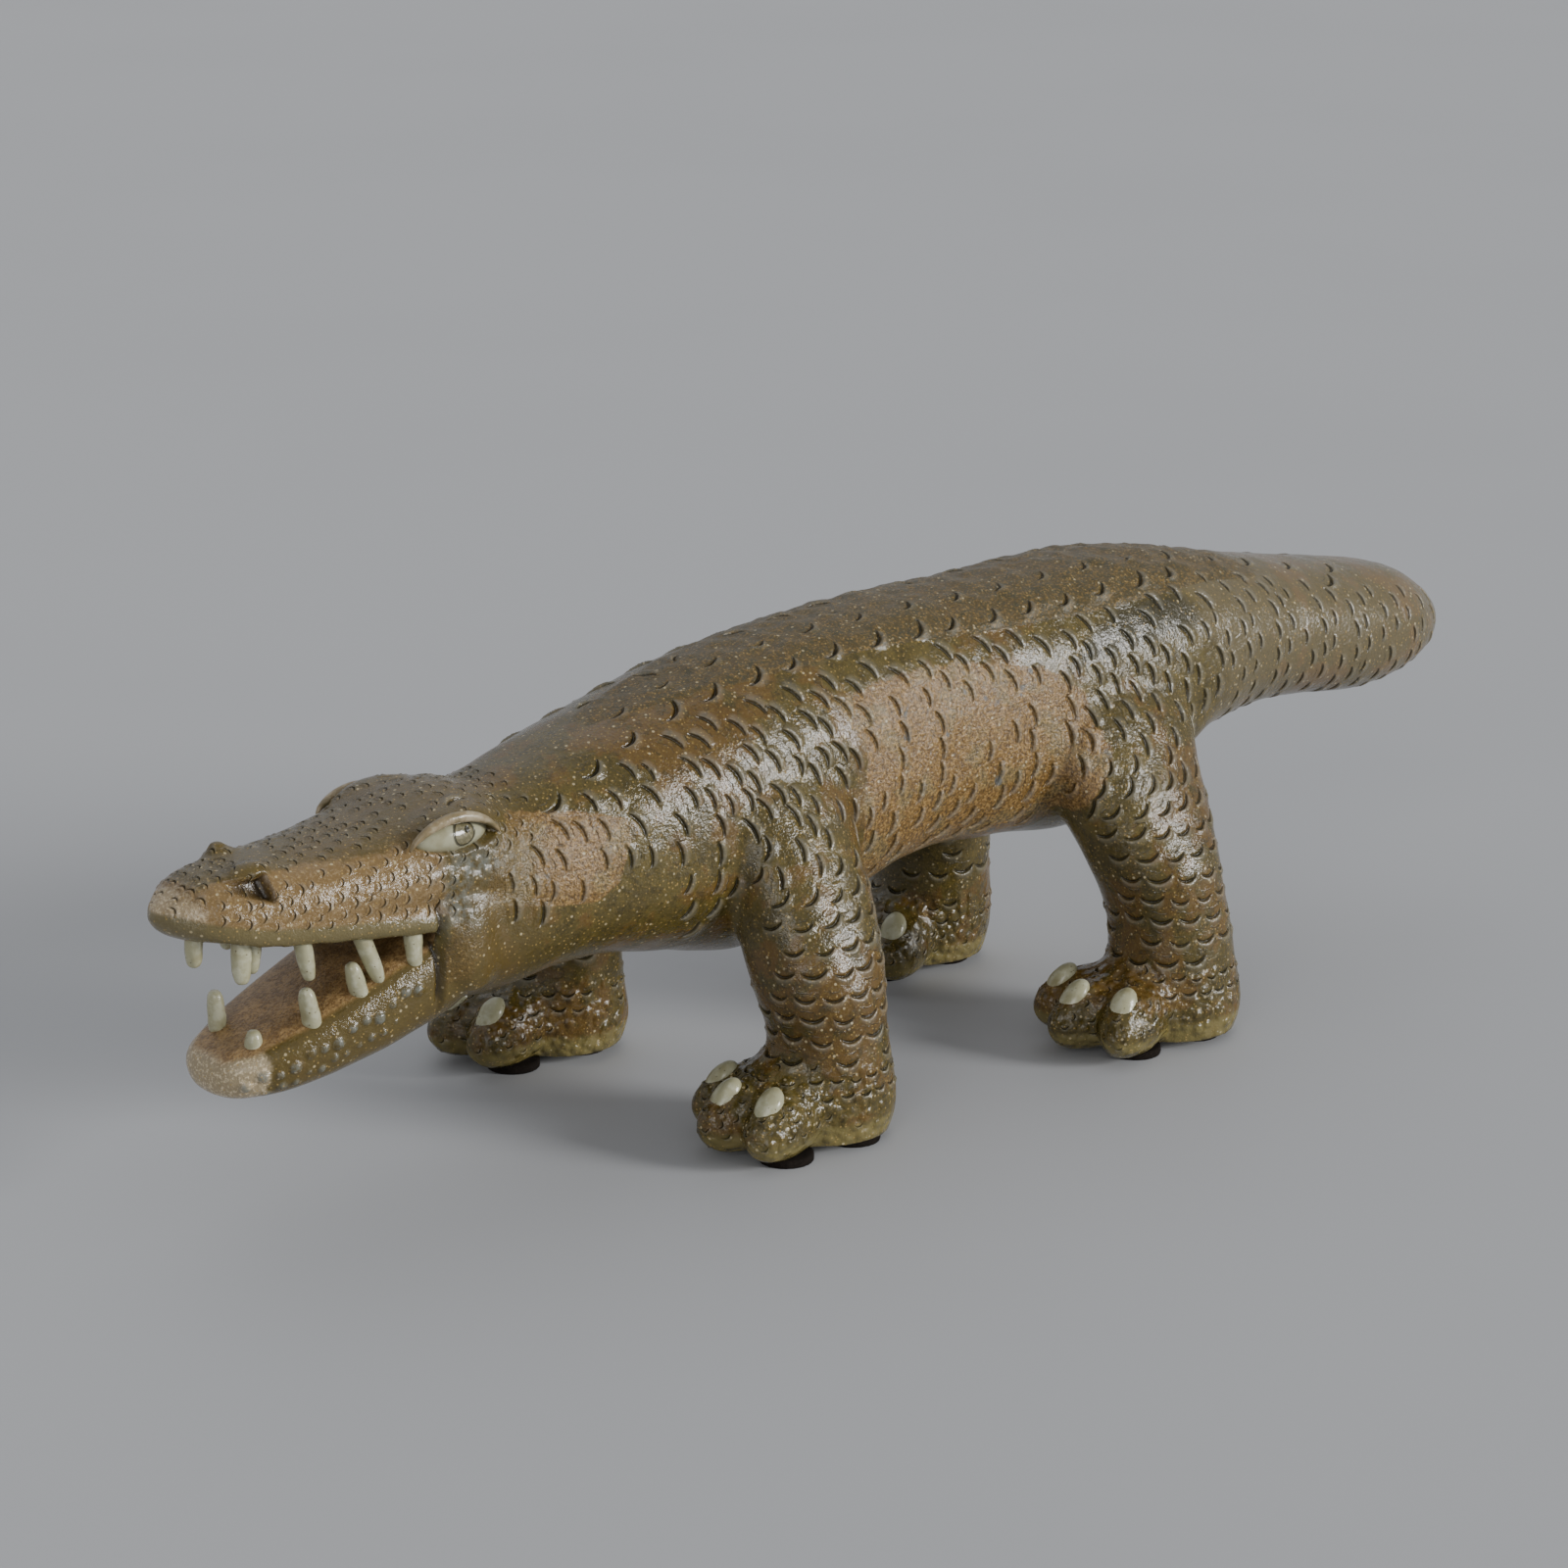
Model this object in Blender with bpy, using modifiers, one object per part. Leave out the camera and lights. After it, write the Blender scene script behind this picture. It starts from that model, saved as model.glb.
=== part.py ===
"""A glazed stoneware komodo dragon with an open mouth, standing on eight felt pads.

The figure is one fired piece: trunk, head, jaw, legs, toes, teeth, claws, eyes and lids are clay
joined before firing. Its head points to -X and its tail to +X, and it stands on Z = 0.
"""
import math

import bmesh
import bpy
from mathutils import Matrix, Vector

# Driving dimensions, in metres
LENGTH = 0.610            # snout to tail tip
PAD_DIAMETER = 0.020      # felt pads under the feet
PAD_THICKNESS = 0.003
TOUCH_GAP = 0.0003        # between a pad and the sole it is stuck to

# The figure's places and sizes are 610ths of its length, which are millimetres at the size above.
UNIT = LENGTH / 610
SOLE = PAD_THICKNESS + TOUCH_GAP
CENTRE = (-5.3, 11.4)     # middle of the outline on the ground, in the figure's own places
CLAY_GRAIN = 2.0          # size of the cubes that blend the clay pieces together
BODY_TRIANGLES = 4700     # what the blended body keeps before teeth, claws and eyes join it


def place(x, y, z):
    """A point in metres from the figure's own places, with z measured up from the soles."""
    return Vector(((x - CENTRE[0]) * UNIT, (y - CENTRE[1]) * UNIT, z * UNIT + SOLE))


def clear_scene():
    for old in list(bpy.data.objects):
        bpy.data.objects.remove(old, do_unlink=True)


def new_collection(name):
    collection = bpy.data.collections.new(name)
    bpy.context.scene.collection.children.link(collection)
    return collection


def material(name, colour, roughness):
    made = bpy.data.materials.new(name)
    made.use_nodes = True
    shader = made.node_tree.nodes["Principled BSDF"]
    shader.inputs["Base Color"].default_value = (*colour, 1)
    shader.inputs["Roughness"].default_value = roughness
    shader.inputs["Metallic"].default_value = 0
    made.diffuse_color = (*colour, 1)
    return made


def object_from(name, shape, collection):
    """An object that holds a bmesh, which is freed."""
    mesh = bpy.data.meshes.new(name)
    shape.to_mesh(mesh)
    shape.free()
    made = bpy.data.objects.new(name, mesh)
    collection.objects.link(made)
    return made


def settle(made):
    """Replaces an object's mesh by its evaluated one and drops its modifiers."""
    graph = bpy.context.evaluated_depsgraph_get()
    mesh = bpy.data.meshes.new_from_object(made.evaluated_get(graph))
    made.modifiers.clear()
    made.data = mesh


def between(rows, steps):
    """Rows with steps - 1 more between each two, along a smooth curve through all of them."""
    filled = []
    for i in range(len(rows) - 1):
        four = (rows[max(i - 1, 0)], rows[i], rows[i + 1], rows[min(i + 2, len(rows) - 1)])
        for step in range(steps):
            t = step / steps
            filled.append([
                0.5 * (2 * b + (c - a) * t + (2 * a - 5 * b + 4 * c - d) * t ** 2
                       + (3 * b - a - 3 * c + d) * t ** 3)
                for a, b, c, d in zip(*four)])
    return filled + [list(rows[-1])]


def rounded(angle, squareness):
    """A point on a unit ring that is a circle at squareness 2 and nears a square above it."""
    c = math.cos(angle)
    s = math.sin(angle)
    power = 2 / squareness
    return math.copysign(abs(c) ** power, c), math.copysign(abs(s) ** power, s)


def loft(shape, rings):
    """Adds a closed skin over rings of equal counts of points."""
    rows = [[shape.verts.new(point) for point in ring] for ring in rings]
    count = len(rows[0])
    for row, after in zip(rows, rows[1:]):
        for i in range(count):
            shape.faces.new((row[i], row[(i + 1) % count], after[(i + 1) % count], after[i]))
    shape.faces.new(rows[0][::-1])
    shape.faces.new(rows[-1])


def upright_loft(shape, stations, flare, steps=4, sides=28):
    """Sections across X, wider below by flare.

    Each station is x, y, lowest z, highest z, half width, squareness.
    """
    rings = []
    for x, y, low, high, half, squareness in between(stations, steps):
        ring = []
        for i in range(sides):
            across, along = rounded(math.tau * i / sides, squareness)
            wide = half * (1 - flare * along)
            ring.append(place(x, y + wide * across, (low + high) / 2 + (high - low) / 2 * along))
        rings.append(ring)
    loft(shape, rings)


def level_loft(shape, stations, steps=4, sides=24):
    """Sections across Z. Each station is z, x, y, half size along X, half size along Y."""
    rings = []
    for z, x, y, half_x, half_y in between(stations, steps):
        ring = []
        for i in range(sides):
            along, across = rounded(math.tau * i / sides, 2.2)
            ring.append(place(x + half_x * along, y + half_y * across, z))
        rings.append(ring)
    loft(shape, rings)


def egg(shape, centre, sizes, yaw=0, pitch=0, rounds=(16, 10), taper=0):
    """An ellipsoid, with pitch lifting its +X end, and taper narrowing that end."""
    new = bmesh.ops.create_uvsphere(shape, u_segments=rounds[0], v_segments=rounds[1], radius=1)["verts"]
    bmesh.ops.rotate(shape, verts=new, matrix=Matrix.Rotation(math.pi / 2, 3, "Y"))
    for vert in new:
        narrowing = 1 - taper * (vert.co.x + 1) / 2
        vert.co.y *= narrowing
        vert.co.z *= narrowing
    turn = Matrix.Rotation(math.radians(yaw), 4, "Z") @ Matrix.Rotation(-math.radians(pitch), 4, "Y")
    size = Matrix.Diagonal((*(Vector(sizes) * UNIT), 1))
    bmesh.ops.transform(shape, verts=new, matrix=Matrix.Translation(place(*centre)) @ turn @ size)


def peg(shape, root, tip, thick, taper):
    """A tapered clay peg from its root to its tip."""
    run = Vector(tip) - Vector(root)
    yaw = math.degrees(math.atan2(run.y, run.x))
    pitch = math.degrees(math.asin(run.z / run.length))
    middle = (Vector(root) + Vector(tip)) / 2
    egg(shape, middle, (run.length / 2, thick, thick), yaw, pitch, (8, 6), taper)


def heading(angle):
    """A level direction from an angle in degrees, with 0 straight ahead and + to the animal's right."""
    turn = math.radians(angle)
    return Vector((-math.cos(turn), math.sin(turn), 0))


# Trunk, neck and tail: x, y, lowest z, highest z, half width, squareness
TRUNK = (
    (-214, 0, 84, 118, 20, 2.2),
    (-205, 0, 66, 130, 31, 2.3),
    (-188, 0, 63, 135, 34, 2.3),
    (-165, 0, 66, 141, 37, 2.3),
    (-140, 1, 66, 147.5, 41, 2.3),
    (-112, 2, 61, 153.5, 45, 2.3),
    (-80, 3, 55, 160.5, 47, 2.4),
    (-45, 3, 61, 165, 46, 2.4),
    (0, 3, 73, 168, 44, 2.5),
    (40, 3, 72, 168, 44, 2.5),
    (80, 3, 68, 169, 45, 2.5),
    (115, 3, 74, 168.5, 46, 2.5),
    (148, 2, 89, 164, 42, 2.3),
    (182, 1, 94, 157, 37, 2.2),
    (215, 0, 93, 150.5, 34, 2.2),
    (245, 0, 92.5, 145, 32, 2.2),
    (268, 0, 95, 140, 28, 2.2),
    (284, 0, 100, 132, 21, 2.2),
    (295, 0, 106, 124, 12, 2.1),
    (300.5, 0, 111, 118, 5, 2.0),
)

# Upper head, from the snout's tip back into the neck
HEAD = (
    (-311.5, 0, 113, 116, 3, 2.0),
    (-307.5, 0, 108.5, 120, 9, 2.1),
    (-299, 0, 105, 125, 17, 2.4),
    (-284, 0, 103, 128, 21.5, 2.6),
    (-262, 0, 102, 129, 25.5, 2.6),
    (-240, 0, 102, 131, 28.5, 2.6),
    (-222, 0, 102, 135, 30.5, 2.6),
    (-205, 0, 101, 139, 32, 2.6),
    (-190, 0, 98, 138, 33, 2.4),
    (-172, 0, 104, 132, 26, 2.0),
)

# Lower jaw, a wedge whose upper face is the floor of the mouth
JAW = (
    (-296, 0, 54, 61, 4, 2.4),
    (-293, 0, 50, 63.5, 12, 2.8),
    (-284, 0, 48, 67, 19, 3.2),
    (-267, 0, 48.5, 74, 24, 3.4),
    (-246, 0, 51.5, 83, 26.5, 3.4),
    (-224, 0, 56.5, 92.5, 28, 3.0),
    (-206, 0, 61, 100, 28, 2.6),
    (-186, 0, 72, 103, 18, 2.0),
)

# Legs from the flank down through the sole: z, x, y, half size along X, half size along Y
FRONT_LEG = (
    (140, -72, -14, 26, 16),
    (120, -73, -26, 30, 20),
    (98, -73, -38, 27, 22),
    (76, -74, -49, 25.5, 23.5),
    (55, -75, -57, 23.5, 23),
    (38, -72.5, -59, 21, 21),
    (22, -72, -60, 23, 21.5),
    (8, -71, -60, 23, 21.5),
    (-6, -72, -60, 19, 18),
)
HIND_LEG = (
    (142, 93, -14, 32, 16),
    (121, 92, -27, 37, 21),
    (98, 89, -39, 33, 24),
    (80, 90.5, -48, 29, 25),
    (64, 91.5, -56, 24.5, 24.5),
    (44, 96, -60, 22.5, 22.5),
    (23, 97, -62, 24, 23),
    (8, 98, -64, 24, 23),
    (-6, 97, -64, 20, 19),
)
ANKLE = -3                # the station that the toes fan out from

# Each leg: stations, side (-1 is the animal's left), shift in X and Y, toes' heading, reach, spread
LEGS = {
    "left_front": (FRONT_LEG, -1, (0, 0), 10, 49, 26),
    "right_front": (FRONT_LEG, 1, (-17, 12), 20, 49, 28),
    "left_hind": (HIND_LEG, -1, (0, 0), 6, 53, 26),
    "right_hind": (HIND_LEG, 1, (-13, -2), 2, 48, 28),
}
TOE = (23, 11.5, 13.5)    # half sizes along, across and up
CLAW = (8, 4.2, 3.6)
LID_RADIUS = 1.6

# Places of the felt pads, from the ankle's middle
PAD_ALONG = {"toe_pad": -27, "heel_pad": 4}
PAD_OFFSET = {"left": -8, "right": -4}

# Crescent scales that stand proud of the back: angle from the top in degrees, first and last x
SCALE_ROWS = ((38, -135, 170), (64, -120, 150))
SCALE_SPACING = 38
SCALE = (2.4, 6.5, 1.7)   # half sizes along the body, along the crescent and outwards

# Teeth: root, tip and half thickness, the near ones of each jaw first
TEETH = (
    ((-298, -4, 108), (-298.5, -4, 96), 3.2),
    ((-286, -13, 107), (-286.5, -14, 90), 3.3),
    ((-279, -10, 107), (-279.5, -9, 91), 3.0),
    ((-267, -19, 107), (-264, -20, 88), 3.3),
    ((-247, -21, 107), (-238, -23, 82), 3.3),
    ((-225, -23, 107), (-225, -25, 85), 3.3),
    ((-277, 12, 107), (-275, 12, 93), 3.1),
    ((-256, 16, 107), (-255, 17, 91), 3.1),
    ((-234, 21, 107), (-232, 22, 88), 3.2),
    ((-281, 10, 62), (-282, 10, 80.5), 3.5),
    ((-281, -11, 58), (-281, -11, 72), 3.6),
    ((-262, -19, 67), (-266, -20, 85.5), 3.6),
    ((-244, -21, 75), (-249, -22, 91), 3.4),
    ((-236, 21, 79), (-239, 21, 95), 3.3),
)


def leg_stations(stations, side, shift):
    return [(z, x + shift[0], -side * y + shift[1], half_x, half_y)
            for z, x, y, half_x, half_y in stations]


def toes(leg):
    """Tip and angle of a leg's three toes."""
    stations, side, shift, ahead, reach, spread = LEGS[leg]
    _, x, y, _, _ = leg_stations(stations, side, shift)[ANKLE]
    for number in (-1, 0, 1):
        angle = ahead + number * spread
        longer = 4 if number == 0 else 0
        yield Vector((x, y, 0)) + heading(angle) * (reach + longer), angle


def clay_pieces(shape):
    """Trunk, head, jaw, cheeks, brows, legs and toes as overlapping closed skins."""
    upright_loft(shape, TRUNK, 0.05)
    upright_loft(shape, HEAD, 0.13)
    upright_loft(shape, JAW, -0.1)
    for side in (-1, 1):
        egg(shape, (-204, side * 27, 92), (13, 7.5, 21), pitch=6)
        egg(shape, (-207, side * 20, 127.5), (21, 12.5, 10), pitch=4)
        egg(shape, (-271, side * 13, 124), (12, 7, 7), pitch=8)
    for leg, (stations, side, shift, ahead, _, _) in LEGS.items():
        placed = leg_stations(stations, side, shift)
        level_loft(shape, placed)
        _, x, y, _, _ = placed[ANKLE]
        instep = Vector((x, y, 15)) + heading(ahead) * 17
        egg(shape, instep, (24, 21, 17), yaw=180 - ahead, pitch=-24)
        for tip, angle in toes(leg):
            centre = tip - heading(angle) * (TOE[0] - 1) + Vector((0, 0, 11.5))
            egg(shape, centre, TOE, yaw=180 - angle, pitch=-10)


def applied_pieces(shape):
    """Teeth, claws and eyeballs, which sit a little way into the body."""
    for root, tip, thick in TEETH:
        peg(shape, root, tip, thick, 0.35)
    for leg in LEGS:
        for tip, angle in toes(leg):
            centre = tip - heading(angle) * 12 + Vector((0, 0, 21))
            egg(shape, centre, CLAW, yaw=180 - angle, pitch=-42, rounds=(8, 6))
    for side in (-1, 1):
        egg(shape, (-210, side * 24.5, 129), (14.5, 8, 6.5), pitch=5, rounds=(12, 8))


def proud_scales(shape, body):
    """Crescent ridges in rows on the back, each leaning out of the body's surface."""
    for row, (angle, first, last) in enumerate(SCALE_ROWS):
        for side in (-1, 1):
            out = Vector((0, side * math.sin(math.radians(angle)), math.cos(math.radians(angle))))
            for i in range(int((last - first) / SCALE_SPACING) + 1):
                x = first + i * SCALE_SPACING + (row % 2) * SCALE_SPACING / 2
                start = place(x, 2, 115)
                hit, spot, normal, _ = body.ray_cast(start, out)
                if not hit:
                    continue
                new = bmesh.ops.create_icosphere(shape, subdivisions=1, radius=1)["verts"]
                ahead = (Vector((1, 0, -0.3)) - normal * normal.x).normalized()
                turn = Matrix((ahead, normal.cross(ahead), normal)).transposed().to_4x4()
                size = Matrix.Diagonal((*(Vector(SCALE) * UNIT), 1))
                bmesh.ops.transform(shape, verts=new, matrix=Matrix.Translation(spot) @ turn @ size)


def nostrils(shape):
    """Scoops below the nostrils' overhanging rims."""
    for side in (-1, 1):
        egg(shape, (-282, side * 18, 123), (9, 6, 4.5), yaw=side * 12, pitch=6, rounds=(10, 6))


def clay_roll(name, points, radius, collection):
    """A thin roll of clay through points, as a mesh."""
    curve = bpy.data.curves.new(name, "CURVE")
    curve.dimensions = "3D"
    curve.bevel_depth = radius * UNIT
    curve.bevel_resolution = 1
    curve.use_fill_caps = True
    spline = curve.splines.new("POLY")
    spline.points.add(len(points) - 1)
    for knot, point in zip(spline.points, points):
        knot.co = (*point, 1)
    guide = bpy.data.objects.new(name, curve)
    collection.objects.link(guide)
    graph = bpy.context.evaluated_depsgraph_get()
    mesh = bpy.data.meshes.new_from_object(guide.evaluated_get(graph))
    bpy.data.objects.remove(guide, do_unlink=True)
    roll = bmesh.new()
    roll.from_mesh(mesh)
    bmesh.ops.remove_doubles(roll, verts=roll.verts, dist=0.00001)
    return object_from(name, roll, collection)


def eyelid(side, cutters):
    """The rolled upper lid, an arch over the eyeball."""
    points = []
    for i in range(9):
        turn = math.radians(14 + 152 * i / 8)
        out = 29 + math.cos(turn) - 3.5 * math.sin(turn)
        points.append(place(-210 + 16 * math.cos(turn), side * out, 127.5 + 8 * math.sin(turn)))
    return clay_roll(f"eyelid_{side}", points, LID_RADIUS, cutters)


def combine(figure, operation, tool):
    step = figure.modifiers.new(tool.name, "BOOLEAN")
    step.operation = operation
    step.object = tool


def build_figure(parts, cutters):
    """The whole figure as one clay body, glazed and fired."""
    shape = bmesh.new()
    clay_pieces(shape)
    figure = object_from("komodo_dragon", shape, parts)
    blend = figure.modifiers.new("blend_clay", "REMESH")
    blend.mode = "VOXEL"
    blend.voxel_size = CLAY_GRAIN * UNIT
    soften = figure.modifiers.new("soften_joins", "SMOOTH")
    soften.factor = 0.5
    soften.iterations = 14
    settle(figure)
    figure.data.calc_loop_triangles()
    thin = figure.modifiers.new("fewer_faces", "DECIMATE")
    thin.ratio = BODY_TRIANGLES / len(figure.data.loop_triangles)
    settle(figure)

    shape = bmesh.new()
    applied_pieces(shape)
    applied = object_from("applied_clay", shape, cutters)

    shape = bmesh.new()
    proud_scales(shape, figure)
    scales = object_from("proud_scales", shape, cutters)

    shape = bmesh.new()
    nostrils(shape)
    scoops = object_from("nostril_scoops", shape, cutters)

    combine(figure, "DIFFERENCE", scoops)
    combine(figure, "UNION", applied)
    combine(figure, "UNION", scales)
    for side in (-1, 1):
        combine(figure, "UNION", eyelid(side, cutters))

    shape = bmesh.new()
    bmesh.ops.create_cube(shape, size=1)
    ground = object_from("below_the_soles", shape, cutters)
    ground.scale = (LENGTH * 1.2, LENGTH, LENGTH * 0.1)
    ground.location = (0, 0, SOLE - ground.scale.z / 2)
    combine(figure, "DIFFERENCE", ground)
    return figure


def build_pad(name, x, y, parts):
    """A round felt pad with its underside on the ground."""
    shape = bmesh.new()
    bmesh.ops.create_cone(shape, cap_ends=True, segments=20, radius1=PAD_DIAMETER / 2,
                          radius2=PAD_DIAMETER / 2, depth=PAD_THICKNESS)
    pad = object_from(name, shape, parts)
    pad.location = (x, y, PAD_THICKNESS / 2)
    return pad


def main():
    clear_scene()
    parts = new_collection("ceramic_komodo_dragon")
    cutters = new_collection("cutters")
    figure = build_figure(parts, cutters)
    figure.data.materials.append(material("olive_glaze", (0.16, 0.12, 0.045), 0.3))
    felt = material("brown_felt", (0.02, 0.015, 0.012), 0.95)
    for leg, (stations, side, shift, ahead, _, _) in LEGS.items():
        _, x, y, _, _ = leg_stations(stations, side, shift)[ANKLE]
        across = PAD_OFFSET["left" if side < 0 else "right"]
        for end, along in PAD_ALONG.items():
            spot = place(x + along, y + across, 0)
            pad = build_pad(f"{leg}_{end}", spot.x, spot.y, parts)
            pad.data.materials.append(felt)
    for guide in cutters.objects:
        guide.hide_render = True
        guide.display_type = "WIRE"


main()
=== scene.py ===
"""The looks of a glazed stoneware komodo dragon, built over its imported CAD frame.

Places are the figure's own: millimetres at full size, with the head to -X, the tail to +X and
heights measured up from the soles.
"""

import math

import bmesh
import bpy
import numpy as np
from mathutils import Matrix, Vector, kdtree, noise
from mathutils.bvhtree import BVHTree


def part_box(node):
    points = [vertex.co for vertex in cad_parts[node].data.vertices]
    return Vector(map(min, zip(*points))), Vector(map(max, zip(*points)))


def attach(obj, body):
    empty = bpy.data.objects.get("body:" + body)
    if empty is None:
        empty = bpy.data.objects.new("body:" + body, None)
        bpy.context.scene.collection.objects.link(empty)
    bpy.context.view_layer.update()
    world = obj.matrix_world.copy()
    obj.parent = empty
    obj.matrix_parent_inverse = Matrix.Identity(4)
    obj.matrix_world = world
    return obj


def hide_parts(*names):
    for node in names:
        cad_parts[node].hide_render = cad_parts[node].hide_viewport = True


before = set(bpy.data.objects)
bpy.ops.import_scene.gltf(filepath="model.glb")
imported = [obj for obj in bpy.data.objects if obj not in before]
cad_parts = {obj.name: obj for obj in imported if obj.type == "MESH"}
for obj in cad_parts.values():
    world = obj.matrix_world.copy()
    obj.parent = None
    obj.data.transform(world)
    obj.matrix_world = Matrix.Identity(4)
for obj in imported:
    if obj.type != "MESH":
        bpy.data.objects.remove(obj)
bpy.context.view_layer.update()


# Camera: at eye height in front of the figure's left side, as the photograph was taken, with a
# long lens and no shift.
lens = bpy.data.cameras.new("camera")
lens.sensor_width = 36
lens.lens = 102.26
camera = bpy.data.objects.new("camera", lens)
camera.location = (-1.0351, -1.1884, 0.5822)
camera.rotation_euler = (math.radians(73), 0, math.radians(-40.3))
bpy.context.scene.collection.objects.link(camera)
bpy.context.scene.camera = camera


# Body: trunk, head, jaw, legs and toes, coiled and pinched from stoneware clay and smoothed into
# one hollow form before its scales were cut.
SOLE = 3.3
CENTRE = (-5.3, 11.4)
CLAY_GRAIN = 1.5

TRUNK = (
    (-214, 0, 84, 118, 20, 2.2),
    (-205, 0, 66, 130, 31, 2.3),
    (-188, 0, 63, 135, 34, 2.3),
    (-165, 0, 66, 141, 37, 2.3),
    (-140, 1, 66, 147.5, 41, 2.3),
    (-112, 2, 61, 153.5, 45, 2.3),
    (-80, 3, 55, 160.5, 47, 2.4),
    (-45, 3, 61, 165, 46, 2.4),
    (0, 3, 73, 168, 44, 2.5),
    (40, 3, 72, 168, 44, 2.5),
    (80, 3, 68, 169, 45, 2.5),
    (115, 3, 74, 168.5, 46, 2.5),
    (148, 2, 92, 164, 42, 2.3),
    (182, 1, 97.5, 157, 37, 2.2),
    (215, 0, 95.5, 150.5, 34, 2.2),
    (245, 0, 92.5, 145, 32, 2.2),
    (268, 0, 95, 140, 28, 2.2),
    (284, 0, 100, 132, 21, 2.2),
    (295, 0, 106, 124, 12, 2.1),
    (300.5, 0, 111, 118, 5, 2.0),
)
HEAD = (
    (-311.5, 0, 113, 116, 3, 2.0),
    (-307.5, 0, 108.5, 120, 9, 2.1),
    (-299, 0, 105, 125, 17, 2.4),
    (-284, 0, 103, 128, 21.5, 2.6),
    (-262, 0, 102, 129, 25.5, 2.6),
    (-240, 0, 102, 131, 28.5, 2.6),
    (-222, 0, 102, 135, 30.5, 2.6),
    (-205, 0, 101, 139, 32, 2.6),
    (-190, 0, 98, 138, 33, 2.4),
    (-172, 0, 104, 132, 26, 2.0),
)
JAW = (
    (-296, 0, 54, 61, 4, 2.4),
    (-293, 0, 50, 63.5, 12, 2.8),
    (-284, 0, 48, 67, 19, 3.2),
    (-267, 0, 48.5, 74, 24, 3.4),
    (-246, 0, 51.5, 83, 26.5, 3.4),
    (-224, 0, 56.5, 92.5, 28, 3.0),
    (-206, 0, 61, 100, 28, 2.6),
    (-186, 0, 72, 103, 18, 2.0),
)
FRONT_LEG = (
    (140, -72, -14, 26, 16),
    (120, -73, -26, 30, 20),
    (98, -73, -38, 27, 22),
    (76, -74, -49, 25.5, 23.5),
    (55, -75, -57, 23.5, 23),
    (38, -72.5, -59, 21, 21),
    (22, -72, -60, 23, 21.5),
    (8, -71, -60, 23, 21.5),
    (-6, -72, -60, 19, 18),
)
HIND_LEG = (
    (142, 93, -14, 32, 16),
    (121, 92, -27, 37, 21),
    (98, 89, -39, 33, 24),
    (80, 90.5, -48, 29, 25),
    (64, 91.5, -56, 24.5, 24.5),
    (44, 96, -60, 22.5, 22.5),
    (23, 97, -62, 24, 23),
    (8, 98, -64, 24, 23),
    (-6, 97, -64, 20, 19),
)
UPPER_LIP = (
    (-306, 7, 109.5),
    (-303, 10.5, 108.3),
    (-293, 17.2, 105.7),
    (-281, 20.3, 103),
    (-264, 23.3, 101),
    (-246, 25.7, 99.2),
    (-231, 27.3, 97.6),
    (-214, 28.8, 95.8),
)
LIP_THICK, LIP_HIGH = 3, 4.6
ANKLE = -3
LEGS = {
    "left_front": (FRONT_LEG, -1, (0, 0), 10, 49, 26),
    "right_front": (FRONT_LEG, 1, (-17, 12), 20, 49, 28),
    "left_hind": (HIND_LEG, -1, (0, 0), 6, 53, 26),
    "right_hind": (HIND_LEG, 1, (-13, -2), 2, 48, 28),
}
TOE = (23, 11.5, 13.5)
TOE_HEIGHT = 11.5
COIL_STEPS = 8


def place(x, y, z):
    """A point in metres from the figure's own places."""
    return Vector((x - CENTRE[0], y - CENTRE[1], z + SOLE)) / 1000


def between(rows, steps):
    """Rows with steps - 1 more between each two, along a smooth curve through all of them."""
    filled = []
    for i in range(len(rows) - 1):
        four = (rows[max(i - 1, 0)], rows[i], rows[i + 1], rows[min(i + 2, len(rows) - 1)])
        for step in range(steps):
            t = step / steps
            filled.append([
                0.5 * (2 * b + (c - a) * t + (2 * a - 5 * b + 4 * c - d) * t ** 2
                       + (3 * b - a - 3 * c + d) * t ** 3)
                for a, b, c, d in zip(*four)])
    return filled + [list(rows[-1])]


def rounded(angle, squareness):
    """A point on a circle of radius 1 that squareness above 2 pushes out at its corners."""
    c, s = math.cos(angle), math.sin(angle)
    power = 2 / squareness
    return math.copysign(abs(c) ** power, c), math.copysign(abs(s) ** power, s)


def skin_over(clay, rings):
    """Closes a row of rings of points, each as long as the next, into a solid skin."""
    rows = [[clay.verts.new(point) for point in ring] for ring in rings]
    count = len(rows[0])
    for row, after in zip(rows, rows[1:]):
        for i in range(count):
            clay.faces.new((row[i], row[(i + 1) % count], after[(i + 1) % count], after[i]))
    clay.faces.new(rows[0][::-1])
    clay.faces.new(rows[-1])


def coil_along(clay, stations, flare, sides=64):
    """Clay along x, from rows of x, y, lower and upper height, half width and squareness."""
    rings = []
    for x, y, low, high, half, squareness in between(stations, COIL_STEPS):
        ring = []
        for i in range(sides):
            across, up = rounded(math.tau * i / sides, squareness)
            wide = half * (1 - flare * up)
            ring.append(place(x, y + wide * across, (low + high) / 2 + (high - low) / 2 * up))
        rings.append(ring)
    skin_over(clay, rings)


def leg_stations(stations, side, shift):
    """A leg's rows on its own side of the figure, moved by its shift."""
    return [(z, x + shift[0], -side * y + shift[1], half_x, half_y)
            for z, x, y, half_x, half_y in stations]


def coil_up(clay, stations, sides=48, squareness=2.2):
    """Clay along z, from rows of z, x, y and the half widths along x and y."""
    rings = []
    for z, x, y, half_x, half_y in between(stations, COIL_STEPS):
        ring = []
        for i in range(sides):
            along, across = rounded(math.tau * i / sides, squareness)
            ring.append(place(x + half_x * along, y + half_y * across, z))
        rings.append(ring)
    skin_over(clay, rings)


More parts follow.
